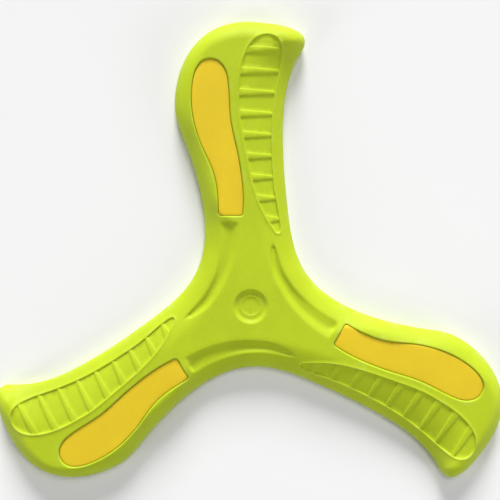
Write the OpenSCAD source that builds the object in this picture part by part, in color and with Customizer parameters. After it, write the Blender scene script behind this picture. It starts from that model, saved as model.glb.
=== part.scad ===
// Three-bladed foam boomerang.
// One moulded foam body carries three foam inlays, each bonded into a pocket by a film of glue.
// The origin is the hub's centre on the flat underside, +Z is the moulded top and the first
// blade points along +Y. Seen from above it spins anticlockwise, so each blade leads with its
// bulging side and trails with its ribbed side.

/* [Body] */
// Distance from the hub's centre to a blade's far end
reach = 160; // [120:1:200]
// Thickness at the hub and over the inlays
body_h = 15; // [13:0.5:18]
// Height of the parting line, where the rim is widest
parting_z = 5; // [4:0.5:8]
// Fullness of the skin's rise from the rim: 2 is a quarter ellipse, less is flatter
skin_power = 1.5; // [1.3:0.1:2]
// How far the underside's rounding runs in from the rim
under_round = 4.5; // [2:0.5:6]

/* [Inlays] */
// Depth of an inlay's pocket
pocket_depth = 5.4; // [3:0.1:6]
// Thickness of the glue film under an inlay
glue_h = 0.2; // [0.1:0.05:0.4]
// Width of the sloping lip round a pocket
lip_w = 0.9; // [0.4:0.1:1.2]
// Fall of that lip
lip_fall = 0.7; // [0.2:0.1:1]
// Depth of an inlay's top below the body's flat top
inlay_sink = 0.9; // [0.4:0.1:1.2]
// Least depth of an inlay's top below the skin, where that falls away towards the rim
inlay_rest = 0.3; // [0.1:0.1:0.6]
// Gap between an inlay and its pocket's wall
inlay_gap = 0.25; // [0.15:0.05:0.4]
// Size of the chamfer round an inlay's upper edge
inlay_chamfer = 0.4; // [0.2:0.1:0.8]

/* [Ribbed panels] */
// Depth of a panel's floor below the surface round it
panel_depth = 0.8; // [0.6:0.1:2]
// Height of the bead round a panel, above the surface
bead_h = 0.3; // [0.1:0.1:0.8]
// Width of that bead
bead_w = 1.4; // [0.8:0.1:2]
// Number of ribs in a panel
rib_count = 9; // [5:1:9]
// Distance from one rib to the next
rib_pitch = 11.8; // [9:0.1:12]
// Depth of a rib's top below the surface round the panel
rib_sink = 0.2; // [0.1:0.1:0.5]
// Width of a rib at the panel's inner side
rib_wide = 4.2; // [2:0.1:5]
// Width of a rib at the panel's outer side
rib_narrow = 1.6; // [1:0.1:3]

/* [Hub] */
// Radius of the hub dish at its rim
dish_r = 10.2; // [9.5:0.1:12]
// Depth of the hub dish
dish_depth = 1.8; // [1.2:0.1:4]
// Depth of the three curved grooves below the flat top
groove_depth = 2.7; // [2.5:0.1:4]

/* [Hidden] */

// The curves below are drawn at a reach of 160 and scaled from it.
plan_scale = reach / 160;
blades = 3;
turn = 360 / blades;

// Points on a curve from one station to the next
rim_steps = 5;
detail_steps = 4;
// Rings of the body's skin over and under the parting line
top_steps = 6;
under_steps = 3;
// How far a cutter runs past the face it cuts
past = 1;

lime = [0.66, 0.80, 0.12];
amber = [0.95, 0.76, 0.12];
glue_tint = [0.93, 0.90, 0.78];

// Every curve is a list of stations [x, y, heading], clockwise seen from above.
// The rim beside one blade: leading side, far end, hooked corner, trailing side, hub.
rim_stations = [
    [-26.5, 42, 90],
    [-28.1, 59.1, 100],
    [-36.4, 88.5, 110],
    [-43.8, 113, 90],
    [-22, 155.4, 28],
    [4, 159.5, -6],
    [27, 153.5, -36],
    [27.8, 144, -123],
    [21.3, 130.4, -108],
    [17.6, 108, -92],
    [20, 60, -83],
    [29.7, 21, -60]
];

// The crown line, station for station with the rim. The top is flat inside it.
crown_stations = [
    [-8, 43, 97],
    [-18, 58, 116],
    [-25.5, 87, 106],
    [-33, 114, 90],
    [-21, 147, 28],
    [4, 150.5, -5],
    [20, 148.5, -60],
    [18, 148, 180],
    [-6.5, 133, -106],
    [-8.8, 104, -84],
    [-1, 66, -76],
    [11.5, 21, -60]
];

// The mouth of an inlay's pocket: round at the far end, square at the inner end.
pocket_stations = [
    [-19.6, 53, 91],
    [-21.9, 73.5, 106],
    [-28.9, 89.8, 113],
    [-35, 116.8, 90],
    [-23, 139.4, -2],
    [-12.9, 128.5, -80],
    [-10.6, 103, -80],
    [-6.5, 84.5, -79],
    [-3.6, 60, -89],
    [-3.8, 53, -91],
    [-6.3, 50.4, 180],
    [-17.1, 50.4, 180]
];

// The middle of a ribbed panel's bead: a leaf along the trailing side.
panel_stations = [
    [13.2, 42.2, 125],
    [4, 58, 113],
    [-4.3, 89.5, 101],
    [-8, 115.4, 90],
    [-3.3, 144.6, 62],
    [8, 152.7, 0],
    [16.9, 142.7, -92],
    [13.3, 120.3, -98],
    [11.4, 97.4, -90],
    [12.9, 68.5, -84],
    [16.8, 45.7, -85],
    [15.2, 41, 180]
];

// Distance along the blade of the rib nearest its far end
outermost_rib_y = 143.8;

// A hub groove at the level of the flat top: square by the inlay, pointed at its other end.
groove_stations = [
    [-15, 48.5, 0],
    [-9, 48.5, 0],
    [-6.2, 45.5, -90],
    [-9.1, 25.2, -107],
    [-16, 9.8, -121],
    [-24.5, -1.5, -139],
    [-38.5, -9, -165],
    [-39.5, -7.6, 35],
    [-30, 3.6, 48],
    [-23.8, 13.2, 63],
    [-19.8, 30, 84],
    [-19.2, 45.5, 90]
];

// Its narrow floor, station for station. The side towards the hub slopes most gently.
groove_floor_stations = [
    [-14.5, 46.5, 0],
    [-13.3, 46.5, 0],
    [-12.6, 45.5, -90],
    [-14.4, 26, -102],
    [-19.4, 12, -119],
    [-26.6, 0.8, -137],
    [-34.5, -5.6, -146],
    [-34.8, -5.2, 38],
    [-27.2, 1.8, 46],
    [-20.6, 12.6, 63],
    [-16.2, 29.5, 83],
    [-15.3, 45.5, 90]
];

// From one station to the next runs the cubic that lies closest to a circular arc.
function handle(bend) = abs(bend) < 0.01 ? 1 / 3 : (2 / 3) * tan(bend / 4) / sin(bend / 2);
function wrap(a) = a - 360 * round(a / 360);
function unit(a) = [cos(a), sin(a)];
function flat(s) = [s[0], s[1]];
function cubic(p, q, r, s, t) =
    pow(1 - t, 3) * p + 3 * pow(1 - t, 2) * t * q + 3 * (1 - t) * t * t * r + pow(t, 3) * s;
function span(a, b, steps) =
    let (
        reach_out = norm(flat(b) - flat(a)) * handle(wrap(b[2] - a[2])),
        q = flat(a) + reach_out * unit(a[2]),
        r = flat(b) - reach_out * unit(b[2])
    )
    [for (i = [0 : steps - 1]) cubic(flat(a), q, r, flat(b), i / steps)];
function smooth(stations, steps) =
    let (n = len(stations))
    [for (i = [0 : n - 1]) each span(stations[i], stations[(i + 1) % n], steps)];

// One blade's stations, repeated clockwise round the hub.
function turned(s, a) =
    [s[0] * cos(a) - s[1] * sin(a), s[0] * sin(a) + s[1] * cos(a), s[2] + a];
function all_round(stations) =
    [for (k = [0 : blades - 1]) for (s = stations) turned(s, -k * turn)];

// A closed loop moved inward, square to itself.
function inset(loop, d) =
    let (n = len(loop))
    [for (i = [0 : n - 1])
        let (along = loop[(i + 1) % n] - loop[(i + n - 1) % n])
        loop[i] + d * [along[1], -along[0]] / norm(along)];
function at_height(loop, z) = [for (p = loop) [p[0], p[1], z]];

rim = plan_scale * smooth(all_round(rim_stations), rim_steps);
crown = plan_scale * smooth(all_round(crown_stations), rim_steps);
pocket_mouth = plan_scale * smooth(pocket_stations, detail_steps);
pocket_wall = inset(pocket_mouth, lip_w);
inlay_side = inset(pocket_wall, inlay_gap);
groove_mouth = plan_scale * smooth(groove_stations, detail_steps);
groove_floor = plan_scale * smooth(groove_floor_stations, detail_steps);
panel_mid = plan_scale * smooth(panel_stations, detail_steps);
panel_inside = inset(panel_mid, bead_w / 2);
panel_outside = inset(panel_mid, -bead_w / 2);

// Rings of equal length, lowest first, joined into a closed solid.
module loft(rings) {
    n = len(rings[0]);
    m = len(rings);
    points = [for (r = rings) each r];
    sides = [for (j = [0 : m - 2]) for (i = [0 : n - 1])
        let (a = j * n + i, b = j * n + (i + 1) % n)
        each [[a, b, b + n], [a, b + n, a + n]]];
    under = [[for (i = [n - 1 : -1 : 0]) i]];
    top = [[for (i = [0 : n - 1]) (m - 1) * n + i]];
    polyhedron(points, concat(sides, under, top), convexity = 10);
}

// Over the parting line the skin rises on a superellipse from the rim to the crown line.
function over_ring(a) =
    let (
        share = 1 - pow(cos(a), 2 / skin_power),
        rise = pow(sin(a), 2 / skin_power)
    )
    at_height(rim + share * (crown - rim), parting_z + (body_h - parting_z) * rise);

// Under it a quarter ellipse runs down to the flat underside.
function under_ring(a) =
    at_height(inset(rim, under_round * (1 - sin(a))), parting_z * (1 - cos(a)));

// The foam blank, before any relief.
module blank() {
    loft(concat(
        [for (k = [0 : under_steps - 1]) under_ring(90 * k / under_steps)],
        [for (k = [0 : top_steps]) over_ring(90 * k / top_steps)]
    ));
}

// A shape repeated on every blade.
module on_blades() {
    for (k = [0 : blades - 1])
        rotate([0, 0, k * turn])
            children();
}

// A plan shape on every blade, standing from the parting line to past the top.
module columns() {
    translate([0, 0, parting_z])
        linear_extrude(height = body_h + past - parting_z)
            on_blades()
                children();
}

// The blank raised or lowered, so that relief follows its skin.
module blank_at(dz) {
    translate([0, 0, dz])
        blank();
}

// Where a loop crosses a line straight across the blade.
function crossings(loop, y) =
    [for (i = [0 : len(loop) - 1])
        let (p = loop[i], q = loop[(i + 1) % len(loop)])
        if ((p[1] <= y) != (q[1] <= y))
            p[0] + (y - p[1]) / (q[1] - p[1]) * (q[0] - p[0])];

// A rib runs from bead to bead and is widest at the inner one.
module rib_plan(y) {
    ends = crossings(panel_mid, y);
    hull() {
        translate([min(ends), y])
            square([0.1, rib_wide], center = true);
        translate([max(ends), y])
            square([0.1, rib_narrow], center = true);
    }
}

module ribs() {
    intersection() {
        columns()
            for (k = [0 : rib_count - 1])
                rib_plan(plan_scale * outermost_rib_y - k * rib_pitch);
        blank_at(-rib_sink);
    }
}

// The bead's outer side stands on the skin. The recess cuts its inner side.
module beads() {
    intersection() {
        columns()
            polygon(panel_outside);
        blank_at(bead_h);
    }
}

module panel_recesses() {
    difference() {
        columns()
            polygon(panel_inside);
        blank_at(-panel_depth);
        ribs();
    }
}

module grooves() {
    on_blades()
        loft([
            at_height(groove_floor, body_h - groove_depth),
            at_height(groove_mouth, body_h),
            at_height(groove_mouth, body_h + past)
        ]);
}

// A pocket with its lip, cut from its floor to past the top.
module pockets() {
    on_blades()
        loft([
            at_height(pocket_wall, body_h - pocket_depth),
            at_height(pocket_wall, body_h - lip_fall),
            at_height(pocket_mouth, body_h),
            at_height(pocket_mouth, body_h + past)
        ]);
}

// The dish in the middle of the hub, with a shallow step in its floor.
module hub_dish() {
    floor_z = body_h - dish_depth;
    rotate_extrude($fn = 96)
        polygon([
            [0, floor_z - 0.3],
            [dish_r - 5.2, floor_z - 0.3],
            [dish_r - 4.8, floor_z],
            [dish_r - 4, floor_z],
            [dish_r - 3.5, floor_z + 0.25],
            [dish_r - 1.1, body_h - 0.6],
            [dish_r - 0.5, body_h - 0.15],
            [dish_r, body_h],
            [dish_r, body_h + past],
            [0, body_h + past]
        ]);
}

module foam_body() {
    color(lime)
        difference() {
            union() {
                blank();
                beads();
            }
            panel_recesses();
            grooves();
            pockets();
            hub_dish();
        }
}

module inlay(k) {
    color(amber)
        rotate([0, 0, -k * turn])
            intersection() {
                loft([
                    at_height(inlay_side, body_h - pocket_depth + glue_h),
                    at_height(inlay_side, body_h - inlay_sink - inlay_chamfer),
                    at_height(inset(inlay_side, inlay_chamfer), body_h - inlay_sink)
                ]);
                blank_at(-inlay_rest);
            }
}

module inlay_glue(k) {
    color(glue_tint)
        rotate([0, 0, -k * turn])
            translate([0, 0, body_h - pocket_depth])
                linear_extrude(height = glue_h)
                    polygon(inlay_side);
}

foam_body();
inlay(0);  // inlay_1
inlay(1);  // inlay_2
inlay(2);  // inlay_3
inlay_glue(0);  // inlay_glue_1
inlay_glue(1);  // inlay_glue_2
inlay_glue(2);  // inlay_glue_3
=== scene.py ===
"""Three-bladed foam boomerang: a moulded foam body with three glued-in foam inlays.

The tables of stations are in millimetres in the part's own frame: the hub's centre is at the
origin, +Z is the moulded top and the first blade points along +Y. Everything else is in metres,
except inside Net.sheet and the climb map, which work in millimetres because their triangles are
too small for the tools they use in metres.
"""

import math

import bmesh
import bpy
import numpy as np
from bpy.props import FloatProperty, FloatVectorProperty, IntProperty, PointerProperty
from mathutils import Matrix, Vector
from mathutils.bvhtree import BVHTree
from mathutils.geometry import delaunay_2d_cdt
from mathutils.kdtree import KDTree


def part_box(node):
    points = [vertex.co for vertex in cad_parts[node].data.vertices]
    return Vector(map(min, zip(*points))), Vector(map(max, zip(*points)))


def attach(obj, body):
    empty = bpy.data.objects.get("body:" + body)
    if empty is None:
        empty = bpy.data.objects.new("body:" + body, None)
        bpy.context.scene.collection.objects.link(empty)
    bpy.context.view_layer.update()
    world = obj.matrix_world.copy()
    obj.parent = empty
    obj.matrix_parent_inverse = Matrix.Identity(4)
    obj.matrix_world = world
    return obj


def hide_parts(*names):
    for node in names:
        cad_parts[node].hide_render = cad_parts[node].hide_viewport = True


bl_info = {
    "name": "Foam Boomerang",
    "version": (1, 0, 0),
    "blender": (4, 5, 0),
    "location": "3D View > Sidebar > Boomerang",
    "description": "Builds a three-bladed foam boomerang with glued inlays and ribbed panels",
    "category": "Add Mesh",
}

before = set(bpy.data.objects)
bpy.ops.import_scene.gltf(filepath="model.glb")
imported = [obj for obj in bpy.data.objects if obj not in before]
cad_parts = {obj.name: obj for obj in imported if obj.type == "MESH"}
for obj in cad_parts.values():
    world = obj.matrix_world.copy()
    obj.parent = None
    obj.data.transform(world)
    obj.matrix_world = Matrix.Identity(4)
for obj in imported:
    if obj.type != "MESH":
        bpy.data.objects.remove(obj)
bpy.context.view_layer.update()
INLAY_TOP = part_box("inlay_1")[1][2]
GLUE_FLOOR, GLUE_TOP = (corner[2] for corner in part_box("inlay_glue_1"))

MM = 0.001
BLADES = 3
TURN = 2 * math.pi / BLADES

# Nearer to a line than this, a spot counts as on it. Corners this near are welded into one.
ON_LINE = 1e-6
WELD = 2e-6
# Gap between the points of a curve that is a row of corners, and of one that is only measured to
ROW_GAP = 0.8 * MM
MEASURE_GAP = 0.4 * MM
# Points on a groove's curve from one station to the next
GROOVE_STEPS = 12

# Rows from the rim towards the crown line, by the angle of the skin's swell. The outer ones
# follow the rim as rows, and the inner ones give only loose spots.
RIM_ROWS = (0, 3, 7, 12, 18, 25)
LOOSE_ROWS = (33, 41, 50, 60, 72)
# Rows across a pocket's lip, a bead, a groove's side and a rib's side, each as shares of its width
LIP_ROWS = (0, 0.3, 0.55, 0.78, 0.93, 1)
BEAD_ROWS = (-1, -0.6, -0.2, 0.2, 0.6)
GROOVE_ROWS = (0, 0.12, 0.25, 0.4, 0.55, 0.7, 0.85, 1)
RIB_ROWS = (-0.5, -0.3, -0.1, 0.1, 0.3, 0.5)
UNDER_ROWS = (0, 0.02, 0.08, 0.18, 0.32, 0.5, 0.7, 1)
INLAY_ROWS = (0, 0.03, 0.12, 0.3, 0.6, 1)
# Rings over the hub dish, in millimetres where the dish's radius is RINGS_FOR
DISH_RINGS = (10.5, 10.2, 9.8, 9.4, 9, 8.5, 8, 7.5, 7, 6.6, 6.2, 5.9, 5.7, 5.5, 5.3, 5.1, 4.9)
RINGS_FOR = 10.2
RING_POINTS = 96

# Share of a bead's half width at which the panel starts to fall
BEAD_FOOT = 0.6
# The foot of the dish's wall as a share of its radius, and the step's two edges as shares of that
DISH_FOOT = 0.72
STEP_EDGES = (0.67, 0.73)
# Run of a pocket's upright wall, and how far inside the lip the row beyond it lies
WALL_RUN = 0.04 * MM
WALL_ROW = 0.05 * MM
# Width of the rubbed band along the rim
RIM_WEAR = 3 * MM
# An edge sharper than this is shaded as a crease
CREASE = math.radians(75)

# The climb map's height at the crown line, and the steps aside, both in millimetres, that a ray
# tries in turn where it slips between two of the map's triangles
CLIMB_TALL = 10
SIDESTEPS = (0.001, 0.01, 0.1)

# Stations [x, y, heading], clockwise seen from above. Between two of them runs a near-arc.
RIM = [
    (-26.5, 42, 90), (-28.1, 59.1, 100), (-36.4, 88.5, 110), (-43.8, 113, 90), (-22, 155.4, 28),
    (4, 159.5, -6), (27, 153.5, -36), (27.8, 144, -123), (21.3, 130.4, -108), (17.6, 108, -92),
    (20, 60, -83), (29.7, 21, -60),
]
CROWN = [
    (-8, 43, 97), (-18, 58, 116), (-25.5, 87, 106), (-33, 114, 90), (-21, 147, 28),
    (4, 150.5, -5), (20, 148.5, -60), (18, 148, 180), (-6.5, 133, -106), (-8.8, 104, -84),
    (-1, 66, -76), (11.5, 21, -60),
]
POCKET = [
    (-19.6, 53, 91), (-21.9, 73.5, 106), (-28.9, 89.8, 113), (-35, 116.8, 90), (-23, 139.4, -2),
    (-12.9, 128.5, -80), (-10.6, 103, -80), (-6.5, 84.5, -79), (-3.6, 60, -89), (-3.8, 53, -91),
    (-6.3, 50.4, 180), (-17.1, 50.4, 180),
]
PANEL = [
    (13.2, 42.2, 125), (4, 58, 113), (-4.3, 89.5, 101), (-8, 115.4, 90), (-3.3, 144.6, 62),
    (8, 152.7, 0), (16.9, 142.7, -92), (13.3, 120.3, -98), (11.4, 97.4, -90), (12.9, 68.5, -84),
    (16.8, 45.7, -85), (15.2, 41, 180),
]
GROOVE = [
    (-15, 48.5, 0), (-9, 48.5, 0), (-6.2, 45.5, -90), (-9.1, 25.2, -107), (-16, 9.8, -121),
    (-24.5, -1.5, -139), (-38.5, -9, -165), (-39.5, -7.6, 35), (-30, 3.6, 48), (-23.8, 13.2, 63),
    (-19.8, 30, 84), (-19.2, 45.5, 90),
]
GROOVE_FLOOR = [
    (-14.5, 46.5, 0), (-13.3, 46.5, 0), (-12.6, 45.5, -90), (-14.4, 26, -102), (-19.4, 12, -119),
    (-26.6, 0.8, -137), (-34.5, -5.6, -146), (-34.8, -5.2, 38), (-27.2, 1.8, 46),
    (-20.6, 12.6, 63), (-16.2, 29.5, 83), (-15.3, 45.5, 90),
]


def length(default, name, description):
    """A size in metres, shown in the scene's own unit."""
    return FloatProperty(
        name=name, description=description, default=default, min=0, unit="LENGTH", precision=5
    )


def colour(default, name, description):
    return FloatVectorProperty(
        name=name, description=description, default=default, size=3, min=0, max=1, subtype="COLOR"
    )


class BodySizes(bpy.types.PropertyGroup):
    """Sizes of the moulded foam body."""

    thickness: length(0.015, "Thickness", "Height of the flat top above the underside")
    parting: length(0.005, "Parting Height", "Height at which the rim is widest")
    power: FloatProperty(
        name="Fullness", default=1.5, min=1.2, max=2.5,
        description="Fullness of the skin's rise from the rim, 2 for a quarter ellipse",
    )
    under_round: length(0.0045, "Underside Round", "Run of the rounding under the rim")
    bead_height: length(0.00035, "Bead Height", "Height of the bead round a ribbed panel")
    bead_width: length(0.0016, "Bead Width", "Width of the bead round a ribbed panel")
    panel_depth: length(0.0008, "Panel Depth", "Depth of a ribbed panel's floor")
    panel_bank: length(0.0006, "Panel Bank", "Run of the slope from the bead to the floor")
    rib_count: IntProperty(name="Ribs", description="Ribs in each panel", default=9, min=1)
    rib_first: length(0.1438, "Outermost Rib", "Distance of the outermost rib from the hub")
    rib_pitch: length(0.0118, "Rib Pitch", "Distance from one rib to the next")
    rib_wide: length(0.0042, "Rib Wide End", "Width of a rib at the panel's inner side")
    rib_narrow: length(0.0016, "Rib Narrow End", "Width of a rib at the panel's outer side")
    rib_sink: length(0.0002, "Rib Sink", "How far a rib's top lies below the skin")
    rib_bank: length(0.0004, "Rib Bank", "Run of the slope at each side of a rib")
    lip_width: length(0.0009, "Pocket Lip", "Width of the rounded lip round a pocket")
    lip_fall: length(0.0007, "Lip Fall", "How far that lip falls towards the pocket")
    groove_depth: length(0.0027, "Groove Depth", "Depth of the hub grooves below the flat top")
    dish_radius: length(0.0102, "Dish Radius", "Radius of the hub dish at its rim")
    dish_depth: length(0.0018, "Dish Depth", "Depth of the hub dish")
    dish_step: length(0.0003, "Dish Step", "Height of the step in the dish's floor")


class InlaySizes(bpy.types.PropertyGroup):
    """Sizes of the foam inlays."""

    gap: length(0.00025, "Side Gap", "Gap between an inlay and its pocket's wall")
    rest: length(0.0003, "Rest", "How far an inlay's top lies at least below the body's skin")
    edge_round: length(0.0004, "Edge Round", "Radius of an inlay's upper edge")
    crown: length(0.0001, "Crown", "How much higher an inlay's middle is than its edge")
    crown_run: length(0.004, "Crown Run", "Distance over which an inlay rises to its middle")


class FoamLooks(bpy.types.PropertyGroup):
    """Colours of the foams and the glue."""

    body: colour((0.48, 0.60, 0.015), "Body Foam", "Lime foam of the moulded body")
    inlay: colour((0.79, 0.575, 0.02), "Inlay Foam", "Amber foam of the inlays")
    glue: colour((0.82, 0.78, 0.58), "Glue", "Dried glue under the inlays")


# Curves in plan


def span(a, b, steps):
    """Points of the near-arc from station a up to station b."""
    start, end = np.array(a[:2]), np.array(b[:2])
    bend = (b[2] - a[2] + 180) % 360 - 180
    share = 1 / 3
    if abs(bend) > 0.01:
        share = 2 / 3 * math.tan(math.radians(bend / 4)) / math.sin(math.radians(bend / 2))
    handle = share * np.linalg.norm(end - start)
    out, back = (np.array((math.cos(h), math.sin(h))) for h in np.radians((a[2], b[2])))
    t = np.arange(steps)[:, None] / steps
    return (
        (1 - t) ** 3 * start
        + 3 * (1 - t) ** 2 * t * (start + handle * out)
        + 3 * (1 - t) * t**2 * (end - handle * back)
        + t**3 * end
    )


def around(stations, counts):
    """The closed curve through stations, with that many points to each span."""
    following = stations[1:] + stations[:1]
    return np.vstack([span(*pair) for pair in zip(stations, following, counts)]) * MM


def evenly(stations, gap):
    """The closed curve through stations, with its points about gap apart."""
    fine = around(stations, [40] * len(stations))
    closed = np.vstack([fine, fine[:1]])
    run = np.append(0, np.cumsum(np.linalg.norm(np.diff(closed, axis=0), axis=1)))
    at = np.linspace(0, run[-1], max(8, round(run[-1] / gap)) + 1)[:-1]
    return np.stack([np.interp(at, run, closed[:, i]) for i in (0, 1)], axis=1)


def turned(spots, angle):
    c, s = math.cos(angle), math.sin(angle)
    return spots @ np.array(((c, s), (-s, c)))


def all_round(stations):
    """The stations of every blade in turn, clockwise round the hub."""
    found = []
    for k in range(BLADES):
        angle = -k * TURN
        for x, y, heading in stations:
            place = turned(np.array([[x, y]]), angle)[0]
            found.append((place[0], place[1], heading + math.degrees(angle)))
    return found


def inward(loop, distance):
    """The closed loop moved inward, square to itself."""
    along = np.roll(loop, -1, axis=0) - np.roll(loop, 1, axis=0)
    normal = np.stack([along[:, 1], -along[:, 0]], axis=1)
    return loop + distance * normal / np.linalg.norm(normal, axis=1)[:, None]


def depth_in(loop, spots):
    """How far each spot lies inside a closed loop. It is negative outside."""
    ends = np.roll(loop, -1, axis=0)
    way = ends - loop
    reach = (way**2).sum(axis=1)
    rise = np.where(way[:, 1] == 0, 1e-12, way[:, 1])
    depth = np.empty(len(spots))
    for first in range(0, len(spots), 4000):
        part = spots[first : first + 4000, None]
        share = np.clip(((part - loop) * way).sum(axis=2) / reach, 0, 1)
        near = np.linalg.norm(part - loop - share[..., None] * way, axis=2).min(axis=1)
        spans_it = (loop[:, 1] > part[..., 1]) != (ends[:, 1] > part[..., 1])
        cross = loop[:, 0] + (part[..., 1] - loop[:, 1]) * way[:, 0] / rise
        inside = (spans_it & (part[..., 0] < cross)).sum(axis=1) % 2 == 1
        depth[first : first + 4000] = np.where(inside, near, -near)
    return depth


def in_blade(spots):
    """Each spot turned into the frame of the blade it is nearest to."""
    angle = np.arctan2(spots[:, 1], spots[:, 0])
    blade = np.round((math.pi / 2 - angle) / TURN) * TURN
    c, s = np.cos(blade), np.sin(blade)
    x, y = spots.T
    return np.stack([c * x - s * y, s * x + c * y], axis=1)


def rails(loop):
    """The inner and outer side of a panel's loop, as x against y."""
    inner, outer = loop[:, 0].min(), loop[:, 0].max()
    heights = np.linspace(loop[:, 1].min() + 2e-4, loop[:, 1].max() - 2e-4, 220)
    ends = np.roll(loop, -1, axis=0)
    sides = []
    for y in heights:
        hit = (loop[:, 1] > y) != (ends[:, 1] > y)
        a, b = loop[hit], ends[hit]
        x = a[:, 0] + (y - a[:, 1]) / (b[:, 1] - a[:, 1]) * (b[:, 0] - a[:, 0])
        sides.append((max(x.min(), inner), min(x.max(), outer)))
    return heights, np.array(sides)


# Sheets of triangles stretched over rows of spots


class Net:
    """Rows of spots joined by edges, and loose spots between them."""

    def __init__(self):
        self.spots, self.edges, self.count = [], [], 0

    def row(self, line, closed=True, keep=None):
        """Adds a row, without the spots that keep leaves out."""
        kept = np.ones(len(line), bool) if keep is None else keep
        number = self.count + np.cumsum(kept) - 1
        self.spots.append(line[kept])
        last = len(line) if closed else len(line) - 1
        for i in range(last):
            j = (i + 1) % len(line)
            if kept[i] and kept[j]:
                self.edges.append((int(number[i]), int(number[j])))
        self.count += int(kept.sum())

    def loose(self, spots, clear):
        """Adds those spots that are clear of every spot so far."""
        there = np.vstack(self.spots)
        tree = KDTree(len(there))
        for i, (x, y) in enumerate(there):
            tree.insert((x, y, 0), i)
        tree.balance()
        free = np.array([tree.find((x, y, 0))[2] > clear for x, y in spots])
        self.spots.append(spots[free])
        self.count += int(free.sum())

    def sheet(self):
        """Corners in plan and triangles, wound to face up."""
        spots = np.vstack(self.spots) / MM
        made = delaunay_2d_cdt([Vector(p) for p in spots.tolist()], self.edges, [], 1, 1e-4)
        corners = np.array([tuple(p) for p in made[0]]) * MM
        faces = np.array(made[2])
        a, b, c = (corners[faces[:, i]] for i in range(3))
        area = (b - a)[:, 0] * (c - a)[:, 1] - (b - a)[:, 1] * (c - a)[:, 0]
        faces[area < 0] = faces[area < 0][:, ::-1]
        return corners, faces


def honeycomb(low, high, gap):
    """Evenly spread spots over a rectangle."""
    rows = np.arange(low[1], high[1], gap * math.sqrt(3) / 2)
    columns = np.arange(low[0], high[0], gap)
    shift = np.where(np.arange(len(rows)) % 2, gap / 2, 0)
    x = columns[None, :] + shift[:, None]
    return np.stack([x.ravel(), np.repeat(rows, len(columns))], axis=1)


def body_rim():
    """The rim and the crown line, point for point."""
    rim, crown = all_round(RIM), all_round(CROWN)
    following = rim[1:] + rim[:1]
    counts = [max(3, round(math.dist(a[:2], b[:2]) / 1.3)) for a, b in zip(rim, following)]
    return around(rim, counts), around(crown, counts)


def climb_map(rim, crown):
    """A surface that rises evenly from the rim to the crown line, in millimetres."""
    shares = np.linspace(0, 1, 30) ** 2
    rings = [
        np.column_stack([(rim + f * (crown - rim)) / MM, np.full(len(rim), CLIMB_TALL * f)])
        for f in shares
    ]
    count = len(rim)
    faces = []
    for j in range(len(shares) - 1):
        for i in range(count):
            k = (i + 1) % count
            low, high = j * count, (j + 1) * count
            faces += [(low + i, low + k, high + k), (low + i, high + k, high + i)]
    return BVHTree.FromPolygons(np.vstack(rings).tolist(), faces, epsilon=1e-6)


def groove_loops():
    """A hub groove's mouth and floor, point for point."""
    counts = [GROOVE_STEPS] * len(GROOVE)
    return around(GROOVE, counts), around(GROOVE_FLOOR, counts)


def climb_share(rim, crown, spots):
    """How far from the rim to the crown line each spot lies, and 1 inside the crown line."""
    surface = climb_map(rim, crown)
    climb = np.where(depth_in(crown, spots) > 0, 1.0, 0.0)
    asides = [(0, 0)] + [
        (reach * dx, reach * dy)
        for reach in SIDESTEPS
        for dx, dy in ((1, 0.4), (-1, -0.4), (-0.4, 1), (0.4, -1))
    ]
    for i in np.flatnonzero((climb == 0) & (depth_in(rim, spots) > ON_LINE)):
        for dx, dy in asides:
            over = (spots[i, 0] / MM + dx, spots[i, 1] / MM + dy, 2 * CLIMB_TALL)
            hit = surface.ray_cast(over, (0, 0, -1))[0]
            if hit is not None:
                climb[i] = hit.z / CLIMB_TALL
                break
    return climb


def groove_share(spots):
    """How far from a groove's mouth to its floor each spot lies."""
    share = np.zeros(len(spots))
    mouth, floor = groove_loops()
    for k in range(BLADES):
        own = turned(spots, k * TURN)
        sunk = np.maximum(depth_in(mouth, own), 0)
        left = np.maximum(-depth_in(floor, own), 0)
        share = np.maximum(share, sunk / np.maximum(sunk + left, 1e-9))
    return share


def towards(rim, crown, degrees):
    """The row that lies at that angle of the skin's swell from the rim."""
    return rim + (1 - math.cos(math.radians(degrees))) * (crown - rim)


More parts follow.
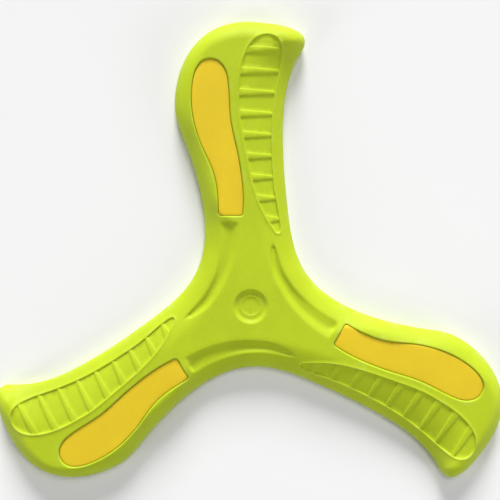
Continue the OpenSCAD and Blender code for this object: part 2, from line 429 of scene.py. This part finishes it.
def top_net(sizes, rim, crown):
    """Rows along the rim and every piece of relief on the top."""
    net = Net()
    for degrees in RIM_ROWS:
        net.row(towards(rim, crown, degrees))
    pocket, panel = evenly(POCKET, ROW_GAP), evenly(PANEL, ROW_GAP)
    mouth, floor = groove_loops()
    lip, bead, bank = sizes.lip_width, sizes.bead_width / 2, sizes.panel_bank
    foot = BEAD_FOOT * bead
    pocket_rows = [-0.25 * MM, *(share * lip for share in LIP_ROWS), lip + WALL_ROW]
    panel_rows = [share * bead for share in BEAD_ROWS]
    panel_rows += [foot + bank / 3, foot + bank * 2 / 3, foot + bank]
    heights, sides = rails(panel)
    for k in range(BLADES):
        angle = -k * TURN
        for distance in pocket_rows:
            net.row(turned(inward(pocket, distance), angle))
        for distance in panel_rows:
            net.row(turned(inward(panel, distance), angle))
        for share in GROOVE_ROWS:
            net.row(turned(mouth + share * (floor - mouth), angle))
        for i in range(sizes.rib_count):
            middle = sizes.rib_first - i * sizes.rib_pitch
            inner, outer = (np.interp(middle, heights, sides[:, s]) for s in (0, 1))
            x = np.linspace(inner, outer, max(4, round((outer - inner) / ROW_GAP)))
            half = np.interp(x, (inner, outer), (sizes.rib_wide / 2, sizes.rib_narrow / 2))
            for side in (-1, 1):
                for share in RIB_ROWS:
                    line = np.stack([x, middle + side * (half + share * sizes.rib_bank)], axis=1)
                    net.row(turned(line, angle), False, depth_in(panel, line) > foot)
    circle = np.linspace(0, 2 * math.pi, RING_POINTS, endpoint=False)
    for radius in DISH_RINGS:
        ring = radius / RINGS_FOR * sizes.dish_radius
        net.row(np.stack([ring * np.cos(circle), -ring * np.sin(circle)], axis=1))
    for degrees in LOOSE_ROWS:
        net.loose(towards(rim, crown, degrees), 0.7 * MM)
    net.loose(within(rim, 1.9 * MM, 1.5 * MM), 1.0 * MM)
    return net


def within(loop, gap, margin):
    """Evenly spread spots inside a loop, at least margin from it."""
    spots = honeycomb(loop.min(axis=0), loop.max(axis=0), gap)
    return spots[depth_in(loop, spots) > margin]


def under_net(sizes, rim):
    """Rows in from the rim over the underside's rounding, and loose spots on its flat."""
    net = Net()
    for share in UNDER_ROWS:
        net.row(inward(rim, share * sizes.under_round))
    net.loose(within(rim, 6 * MM, sizes.under_round + 1.5 * MM), 2 * MM)
    return net


def plain_mesh(name, corners, faces, facts):
    """A flat mesh with a number for each corner under each of the names in facts."""
    mesh = bpy.data.meshes.new(name)
    mesh.vertices.add(len(corners))
    flat = np.column_stack([corners, np.zeros(len(corners))])
    mesh.vertices.foreach_set("co", flat.ravel())
    mesh.loops.add(faces.size)
    mesh.loops.foreach_set("vertex_index", faces.ravel())
    mesh.polygons.add(len(faces))
    mesh.polygons.foreach_set("loop_start", np.arange(0, faces.size, 3))
    mesh.update(calc_edges=True)
    for fact, values in facts.items():
        layer = mesh.attributes.new(fact, "FLOAT", "POINT")
        layer.data.foreach_set("value", np.asarray(values, dtype=np.float32))
    return mesh


def body_mesh(sizes):
    """The body's top and underside, still flat, with what the relief needs at each corner."""
    rim, crown = body_rim()
    top, top_faces = top_net(sizes, rim, crown).sheet()
    under, under_faces = under_net(sizes, rim).sheet()
    own = in_blade(top)
    inside = depth_in(rim, top)
    climb = climb_share(rim, crown, top)
    panel = evenly(PANEL, MEASURE_GAP)
    heights, sides = rails(panel)
    rib = np.round((sizes.rib_first - own[:, 1]) / sizes.rib_pitch)
    middle = sizes.rib_first - np.clip(rib, 0, sizes.rib_count - 1) * sizes.rib_pitch
    inner, outer = (np.interp(middle, heights, sides[:, s]) for s in (0, 1))
    facts = {
        "under": np.zeros(len(top)),
        "climb": climb,
        "inside": inside,
        "panel": depth_in(panel, own),
        "pocket": depth_in(evenly(POCKET, MEASURE_GAP), own),
        "groove": groove_share(top),
        "along": own[:, 1],
        "across": np.clip((own[:, 0] - inner) / (outer - inner), 0, 1),
    }
    # The underside starts so steeply that anything but nought at the rim would miss the top.
    under_inside = depth_in(rim, under)
    under_inside[under_inside < ON_LINE] = 0
    extra = {"under": np.ones(len(under)), "inside": under_inside}
    for fact in facts:
        blank = np.zeros(len(under))
        facts[fact] = np.append(facts[fact], extra.get(fact, blank))
    corners = np.vstack([top, under])
    faces = np.vstack([top_faces, under_faces[:, ::-1] + len(top)])
    return plain_mesh("body_moulding", corners, faces, facts)


# Geometry Nodes


def add(tree, kind, *inputs, out=0, named=None, **settings):
    """Adds a node, fills or links its inputs and returns one of its outputs."""
    made = tree.nodes.new(kind)
    for key, value in settings.items():
        setattr(made, key, value)
    for key, value in [*enumerate(inputs), *(named or {}).items()]:
        if isinstance(value, bpy.types.NodeSocket):
            tree.links.new(value, made.inputs[key])
        elif value is not None:
            made.inputs[key].default_value = value
    return made.outputs[out]


class Sums:
    """Short names for the sums of a node tree."""

    def __init__(self, tree):
        self.tree = tree

    def __getattr__(self, operation):
        return lambda *terms: add(
            self.tree, "ShaderNodeMath", *terms, operation=operation.upper()
        )

    def slope(self, value, start, end, low=0.0, high=1.0, smooth=True):
        """From low to high as value goes from start to end, and level beyond them."""
        return add(
            self.tree, "ShaderNodeMapRange", value, start, end, low, high,
            interpolation_type="SMOOTHSTEP" if smooth else "LINEAR",
        )

    def fact(self, name):
        return add(self.tree, "GeometryNodeInputNamedAttribute", name, data_type="FLOAT")

    def swell(self, share, power=2.0):
        """Height of a quarter superellipse, or circle, at a share of its run."""
        rest = self.power(self.maximum(self.subtract(1.0, share), 0.0), power)
        return self.power(self.maximum(self.subtract(1.0, rest), 0.0), self.divide(1.0, power))


def geometry_tree(name, sizes):
    """An empty tree with a geometry going in and out, and one named input for each size."""
    tree = bpy.data.node_groups.new(name, "GeometryNodeTree")
    face = tree.interface
    face.new_socket("Geometry", in_out="INPUT", socket_type="NodeSocketGeometry")
    face.new_socket("Geometry", in_out="OUTPUT", socket_type="NodeSocketGeometry")
    for label in sizes:
        kind = "NodeSocketInt" if isinstance(sizes[label], int) else "NodeSocketFloat"
        face.new_socket(label, in_out="INPUT", socket_type=kind)
    entry = tree.nodes.new("NodeGroupInput")
    return tree, {socket.name: socket for socket in entry.outputs if socket.name}


def finish_tree(tree, geometry, material):
    solid = add(tree, "GeometryNodeRealizeInstances", geometry)
    coated = add(tree, "GeometryNodeSetMaterial", solid, named={"Material": material})
    leave = tree.nodes.new("NodeGroupOutput")
    tree.links.new(coated, leave.inputs[0])


def sized(group, names):
    """Label and value of each named size of a property group."""
    notes = group.bl_rna.properties
    return {notes[name].name: getattr(group, name) for name in names}


def grown(name, mesh, tree, sizes):
    """Runs a tree on a mesh and returns the plain result as a new object at the origin."""
    piece = bpy.data.objects.new(name, mesh)
    bpy.context.scene.collection.objects.link(piece)
    modifier = piece.modifiers.new(tree.name, "NODES")
    modifier.node_group = tree
    for item in tree.interface.items_tree:
        if item.item_type == "SOCKET" and item.in_out == "INPUT" and item.name in sizes:
            modifier[item.identifier] = sizes[item.name]
    seen = bpy.context.evaluated_depsgraph_get()
    result = bpy.data.meshes.new_from_object(piece.evaluated_get(seen), depsgraph=seen)
    piece.modifiers.remove(modifier)
    piece.data = result
    result.name = name
    bpy.data.meshes.remove(mesh)
    result.shade_smooth()
    result.set_sharp_from_angle(angle=CREASE)
    return piece


BODY_INPUTS = (
    "thickness", "parting", "power", "under_round", "bead_height", "bead_width", "panel_depth",
    "panel_bank", "rib_count", "rib_first", "rib_pitch", "rib_wide", "rib_narrow", "rib_sink",
    "rib_bank", "lip_width", "lip_fall", "groove_depth", "dish_radius", "dish_depth", "dish_step",
)


def relief_tree(sizes, material):
    """Lifts the flat body into its moulded shape by the distances kept at each corner."""
    tree, size = geometry_tree("Boomerang Relief", sizes)
    s = Sums(tree)
    skin = s.add(
        size["Parting Height"],
        s.multiply(
            s.subtract(size["Thickness"], size["Parting Height"]),
            s.swell(s.fact("climb"), size["Fullness"]),
        ),
    )
    panel = s.fact("panel")
    half_bead = s.multiply(size["Bead Width"], 0.5)
    bead = s.slope(s.absolute(panel), 0.0, half_bead, size["Bead Height"], 0.0)
    bank_start = s.multiply(half_bead, BEAD_FOOT)
    in_panel = s.slope(panel, bank_start, s.add(bank_start, size["Panel Bank"]))
    inwards = s.subtract(size["Outermost Rib"], s.fact("along"))
    number = s.round(s.divide(inwards, size["Rib Pitch"]))
    last = s.subtract(size["Ribs"], 1.0)
    number = s.minimum(s.maximum(number, 0.0), last)
    middle = s.subtract(size["Outermost Rib"], s.multiply(number, size["Rib Pitch"]))
    off = s.absolute(s.subtract(s.fact("along"), middle))
    width = s.slope(
        s.fact("across"), 0.0, 1.0, size["Rib Wide End"], size["Rib Narrow End"], smooth=False
    )
    half = s.multiply(width, 0.5)
    half_bank = s.multiply(size["Rib Bank"], 0.5)
    rib = s.slope(off, s.subtract(half, half_bank), s.add(half, half_bank), 1.0, 0.0)
    rise = s.multiply(s.subtract(size["Panel Depth"], size["Rib Sink"]), rib)
    sunk = s.multiply(in_panel, s.subtract(size["Panel Depth"], rise))
    carved = s.slope(s.fact("groove"), 0.0, 1.0)
    groove_floor = s.subtract(size["Thickness"], size["Groove Depth"])
    place = add(tree, "GeometryNodeInputPosition")
    hub = add(tree, "ShaderNodeVectorMath", place, operation="LENGTH", out=1)
    foot = s.multiply(size["Dish Radius"], DISH_FOOT)
    dish = s.slope(hub, foot, size["Dish Radius"], size["Dish Depth"], 0.0)
    inner, outer = (s.multiply(foot, share) for share in STEP_EDGES)
    step = s.slope(hub, inner, outer, size["Dish Step"], 0.0)
    dish = s.add(dish, step)
    pocket = s.fact("pocket")
    lip_run = s.minimum(s.maximum(s.divide(pocket, size["Pocket Lip"]), 0.0), 1.0)
    lip = s.multiply(size["Lip Fall"], s.multiply(lip_run, lip_run))
    height = s.subtract(s.add(skin, bead), lip)
    height = s.subtract(height, s.add(sunk, dish))
    height = s.add(height, s.multiply(carved, s.subtract(groove_floor, height)))
    wall_foot = s.add(size["Pocket Lip"], WALL_RUN)
    in_pocket = s.slope(pocket, size["Pocket Lip"], wall_foot, smooth=False)
    floor = s.multiply(in_pocket, s.subtract(GLUE_FLOOR, height))
    height = s.add(height, floor)
    run = s.minimum(s.divide(s.fact("inside"), size["Underside Round"]), 1.0)
    below = s.multiply(size["Parting Height"], s.subtract(1.0, s.swell(run)))
    is_under = s.fact("under")
    height = s.add(height, s.multiply(is_under, s.subtract(below, height)))
    raised = add(tree, "ShaderNodeCombineXYZ", 0.0, 0.0, height)
    entry = size["Geometry"]
    placed = add(tree, "GeometryNodeSetPosition", entry, named={"Offset": raised})
    worn = s.maximum(
        s.slope(s.absolute(panel), 0.0, half_bead, 1.0, 0.0),
        s.slope(s.absolute(pocket), 0.0, s.multiply(size["Pocket Lip"], 0.8), 1.0, 0.0),
    )
    worn = s.maximum(worn, s.slope(s.fact("inside"), 0.0, RIM_WEAR, 1.0, 0.0))
    kept = add(
        tree, "GeometryNodeStoreNamedAttribute", placed,
        named={"Name": "wear", "Value": worn}, data_type="FLOAT", domain="POINT",
    )
    welded = add(tree, "GeometryNodeMergeByDistance", kept, named={"Distance": WELD})
    finish_tree(tree, welded, material)
    return tree


def pad_tree(sizes, material):
    """Thickens a flat sheet into a pad with a rounded upper edge and a slightly crowned top."""
    tree, size = geometry_tree("Inlay Pad", sizes)
    s = Sums(tree)
    base = add(tree, "GeometryNodeSetPosition", size["Geometry"], named={
        "Offset": add(tree, "ShaderNodeCombineXYZ", 0.0, 0.0, size["Base"])})
    up = add(tree, "ShaderNodeCombineXYZ", 0.0, 0.0, 1.0)
    rise = s.subtract(s.subtract(size["Top"], size["Base"]), size["Edge Round"])
    shell = add(tree, "GeometryNodeExtrudeMesh", base, named={
        "Offset": up, "Offset Scale": rise, "Individual": False})
    top = shell.node.outputs["Top"]
    edge = s.fact("edge")
    turn_in = s.swell(s.minimum(s.divide(edge, size["Edge Round"]), 1.0))
    lift = s.add(
        s.multiply(size["Edge Round"], turn_in),
        s.slope(edge, 0.0, size["Crown Run"], s.multiply(size["Crown"], -1.0), 0.0),
    )
    lift = s.subtract(lift, s.fact("dip"))
    crowned = add(tree, "GeometryNodeSetPosition", shell, named={
        "Selection": top, "Offset": add(tree, "ShaderNodeCombineXYZ", 0.0, 0.0, lift)})
    bottom = add(tree, "GeometryNodeFlipFaces", base)
    joined = tree.nodes.new("GeometryNodeJoinGeometry")
    tree.links.new(crowned, joined.inputs[0])
    tree.links.new(bottom, joined.inputs[0])
    welded = add(tree, "GeometryNodeMergeByDistance", joined.outputs[0], named={"Distance": WELD})
    finish_tree(tree, welded, material)
    return tree


# Materials


def finish(name, tint, roughness):
    """A new material and its shader, with an even tint on the shader's own sockets."""
    material = bpy.data.materials.new(name)
    material.use_nodes = True
    tree = material.node_tree
    shader = next(n for n in tree.nodes if n.type == "BSDF_PRINCIPLED")
    shader.inputs["Base Color"].default_value = (*tint, 1)
    shader.inputs["Roughness"].default_value = roughness
    material.diffuse_color = (*tint, 1)
    return material, tree, shader


def shade(tint, factor):
    return (*(min(1, channel * factor) for channel in tint), 1)


def cloud(tree, place, scale, detail=2.0, roughness=0.5):
    """Even noise about 0.5, with features about 1 / scale metres across."""
    return add(
        tree, "ShaderNodeTexNoise", place,
        named={"Scale": scale, "Detail": detail, "Roughness": roughness},
    )


def foam(name, tint, mottle, grain, dent, worn):
    """Closed-cell foam: a matt skin with fine pores, faint clouds of colour and rubbed edges."""
    material, tree, shader = finish(name, tint, 0.6)
    shader.inputs["Specular IOR Level"].default_value = 0.25
    shader.inputs["Subsurface Weight"].default_value = 0.06
    shader.inputs["Subsurface Radius"].default_value = (0.6, 0.6, 0.2)
    shader.inputs["Subsurface Scale"].default_value = 0.001
    s = Sums(tree)
    place = add(tree, "ShaderNodeTexCoord", out=3)
    broad = s.slope(cloud(tree, place, 45.0, 3.0), 0.35, 0.65)
    fine = s.slope(cloud(tree, place, 900.0, 2.0), 0.3, 0.7)
    tone = s.add(s.multiply(broad, 0.6), s.multiply(fine, 0.4))
    base = add(
        tree, "ShaderNodeMix", tone, data_type="RGBA", out=2,
        named={6: shade(tint, 1 - mottle), 7: shade(tint, 1 + mottle)},
    )
    patch = s.slope(cloud(tree, place, 160.0, 4.0), 0.45, 0.7)
    wear = add(tree, "ShaderNodeAttribute", out=2, attribute_name="wear")
    rubbed = s.multiply(s.multiply(wear, patch), worn)
    pale = tuple(0.75 * channel + 0.25 for channel in tint)
    toned = add(
        tree, "ShaderNodeMix", rubbed, data_type="RGBA", out=2,
        named={6: base, 7: (*pale, 1)},
    )
    tree.links.new(toned, shader.inputs["Base Color"])
    rough = s.add(s.slope(fine, 0.0, 1.0, 0.52, 0.66), s.multiply(rubbed, 0.15))
    tree.links.new(rough, shader.inputs["Roughness"])
    pores = add(
        tree, "ShaderNodeTexVoronoi", place, feature="SMOOTH_F1",
        named={"Scale": grain, "Smoothness": 0.6},
    )
    small = s.add(s.multiply(pores, 0.6), s.multiply(cloud(tree, place, grain * 1.7), 0.4))
    fine_bump = add(
        tree, "ShaderNodeBump",
        named={"Strength": 0.5, "Distance": 0.00008, "Height": small},
    )
    waves = cloud(tree, place, 110.0, 1.0)
    bump = add(
        tree, "ShaderNodeBump",
        named={"Strength": dent, "Distance": 0.0004, "Height": waves, "Normal": fine_bump},
    )
    tree.links.new(bump, shader.inputs["Normal"])
    return material


def dried_glue(name, tint):
    """A thin cloudy film with strokes left by the spreader."""
    material, tree, shader = finish(name, tint, 0.4)
    s = Sums(tree)
    place = add(tree, "ShaderNodeTexCoord", out=3)
    strokes = add(
        tree, "ShaderNodeTexWave", place,
        named={"Scale": 260.0, "Distortion": 6.0, "Detail": 2.0},
        out=1,
    )
    cloudy = cloud(tree, place, 300.0, 3.0)
    base = add(
        tree, "ShaderNodeMix", cloudy, data_type="RGBA", out=2,
        named={6: shade(tint, 0.85), 7: shade(tint, 1.1)},
    )
    tree.links.new(base, shader.inputs["Base Color"])
    tree.links.new(s.slope(cloudy, 0.3, 0.7, 0.3, 0.5), shader.inputs["Roughness"])
    bump = add(
        tree, "ShaderNodeBump",
        named={"Strength": 0.4, "Distance": 0.00005, "Height": strokes},
    )
    tree.links.new(bump, shader.inputs["Normal"])
    return material


def once(name, make, tint, **traits):
    """The material of that name, made the first time it is asked for."""
    return bpy.data.materials.get(name) or make(name, tuple(tint), **traits)


def body_foam(looks):
    traits = {"mottle": 0.05, "grain": 2600.0, "dent": 0.12, "worn": 0.25}
    return once("moulded_lime_foam", foam, looks.body, **traits)


def inlay_foam(looks):
    traits = {"mottle": 0.04, "grain": 3200.0, "dent": 0.08, "worn": 0.2}
    return once("die_cut_amber_foam", foam, looks.inlay, **traits)


# Operators


class BOOMERANG_OT_body(bpy.types.Operator):
    """Build the moulded foam body with its panels, ribs, grooves, pockets and hub dish"""

    bl_idname = "boomerang.body"
    bl_label = "Foam Body"

    def execute(self, context):
        sizes = context.scene.boomerang_body
        inputs = sized(sizes, BODY_INPUTS)
        tree = relief_tree(inputs, body_foam(context.scene.boomerang_looks))
        piece = grown("body_moulding", body_mesh(sizes), tree, inputs)
        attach(piece, "root")
        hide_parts("foam_body")
        return {"FINISHED"}


class BOOMERANG_OT_inlays(bpy.types.Operator):
    """Build the three foam inlays and lay each in its pocket"""

    bl_idname = "boomerang.inlays"
    bl_label = "Foam Inlays"

    def execute(self, context):
        sizes, body = context.scene.boomerang_inlay, context.scene.boomerang_body
        material = inlay_foam(context.scene.boomerang_looks)
        inputs = sized(sizes, ("edge_round", "crown", "crown_run"))
        inputs |= {"Base": GLUE_TOP, "Top": INLAY_TOP}
        tree = pad_tree(inputs, material)
        side = inward(evenly(POCKET, ROW_GAP), body.lip_width + sizes.gap)
        net = Net()
        for share in INLAY_ROWS:
            net.row(inward(side, share * sizes.edge_round))
        net.row(inward(side, 1.6 * MM))
        net.loose(within(side, 2 * MM, 2 * MM), 1 * MM)
        corners, faces = net.sheet()
        edge = depth_in(side, corners)
        edge[edge < ON_LINE] = 0
        rest = 1 - climb_share(*body_rim(), corners)
        skin = body.parting + (body.thickness - body.parting) * (
            (1 - rest**body.power) ** (1 / body.power)
        )
        dip = np.maximum(INLAY_TOP - skin + sizes.rest, 0)
        for k in range(BLADES):
            name = f"inlay_pad_{k + 1}"
            mesh = plain_mesh(name, turned(corners, -k * TURN), faces, {"edge": edge, "dip": dip})
            piece = grown(name, mesh, tree, inputs)
            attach(piece, "root")
            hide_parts(f"inlay_{k + 1}")
        return {"FINISHED"}


class BOOMERANG_OT_glue(bpy.types.Operator):
    """Give the glue films under the inlays their finish"""

    bl_idname = "boomerang.glue"
    bl_label = "Glue Films"

    def execute(self, context):
        material = once("dried_glue", dried_glue, context.scene.boomerang_looks.glue)
        for k in range(BLADES):
            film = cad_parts[f"inlay_glue_{k + 1}"]
            film.data.materials.clear()
            film.data.materials.append(material)
        return {"FINISHED"}


def lamp(name, kind, place, power, **settings):
    """A soft light at place, turned to the part's origin."""
    light = bpy.data.lights.new(name, kind)
    light.energy = power
    for key, value in settings.items():
        setattr(light, key, value)
    made = bpy.data.objects.new(name, light)
    made.location = place
    made.rotation_euler = (-Vector(place)).to_track_quat("-Z", "Y").to_euler()
    bpy.context.scene.collection.objects.link(made)


class BOOMERANG_OT_stage(bpy.types.Operator):
    """Set up the floor, the lights and the camera"""

    bl_idname = "boomerang.stage"
    bl_label = "Floor, Lights and Camera"

    def execute(self, context):
        scene = context.scene
        scene.view_settings.view_transform = "Standard"
        mesh = bpy.data.meshes.new("floor")
        work = bmesh.new()
        bmesh.ops.create_grid(work, x_segments=1, y_segments=1, size=3)
        bmesh.ops.translate(work, verts=work.verts, vec=(0, 0, -0.0002))
        work.to_mesh(mesh)
        work.free()
        mesh.materials.append(finish("pale_floor", (0.9, 0.9, 0.9), 0.8)[0])
        floor = bpy.data.objects.new("floor", mesh)
        scene.collection.objects.link(floor)

        lamp("key", "SUN", (0, 2.2, 0.85), 4.1, angle=math.radians(20))
        lamp("top", "AREA", (0.3, 0.9, 2.0), 13, shape="SQUARE", size=0.8)
        for name, x in (("left", -1.7), ("right", 1.7)):
            lamp(name, "AREA", (x, -1.0, 0.7), 13, shape="SQUARE", size=0.8)
        world = bpy.data.worlds.new("studio")
        world.use_nodes = True
        sky = world.node_tree.nodes["Background"].inputs
        sky["Color"].default_value = (1, 1, 1, 1)
        sky["Strength"].default_value = 0.12
        scene.world = world

        camera = bpy.data.cameras.new("camera")
        camera.sensor_width = 36
        camera.lens = 77.4
        camera.clip_start = 0.01
        eye = bpy.data.objects.new("camera", camera)
        eye.location = (0.002, 0.0855, 0.6173)
        eye.rotation_euler = [math.radians(a) for a in (-5.06, 0.29, 0.4)]
        scene.collection.objects.link(eye)
        scene.camera = eye
        return {"FINISHED"}


class BOOMERANG_PT_panel(bpy.types.Panel):
    """The boomerang's pieces and their sizes"""

    bl_idname = "BOOMERANG_PT_panel"
    bl_label = "Foam Boomerang"
    bl_space_type = "VIEW_3D"
    bl_region_type = "UI"
    bl_category = "Boomerang"

    def draw(self, context):
        for operator in OPERATORS:
            self.layout.operator(operator.bl_idname)
        for group in (context.scene.boomerang_body, context.scene.boomerang_inlay,
                      context.scene.boomerang_looks):
            box = self.layout.box()
            for name in group.__annotations__:
                box.prop(group, name)


OPERATORS = (BOOMERANG_OT_body, BOOMERANG_OT_inlays, BOOMERANG_OT_glue, BOOMERANG_OT_stage)
CLASSES = (BodySizes, InlaySizes, FoamLooks, *OPERATORS, BOOMERANG_PT_panel)


def register():
    for cls in CLASSES:
        bpy.utils.register_class(cls)
    bpy.types.Scene.boomerang_body = PointerProperty(type=BodySizes)
    bpy.types.Scene.boomerang_inlay = PointerProperty(type=InlaySizes)
    bpy.types.Scene.boomerang_looks = PointerProperty(type=FoamLooks)


def unregister():
    for name in ("boomerang_body", "boomerang_inlay", "boomerang_looks"):
        delattr(bpy.types.Scene, name)
    for cls in reversed(CLASSES):
        bpy.utils.unregister_class(cls)


def main():
    register()
    bpy.ops.boomerang.body()
    bpy.ops.boomerang.inlays()
    bpy.ops.boomerang.glue()
    bpy.ops.boomerang.stage()


if __name__ == "__main__":
    main()
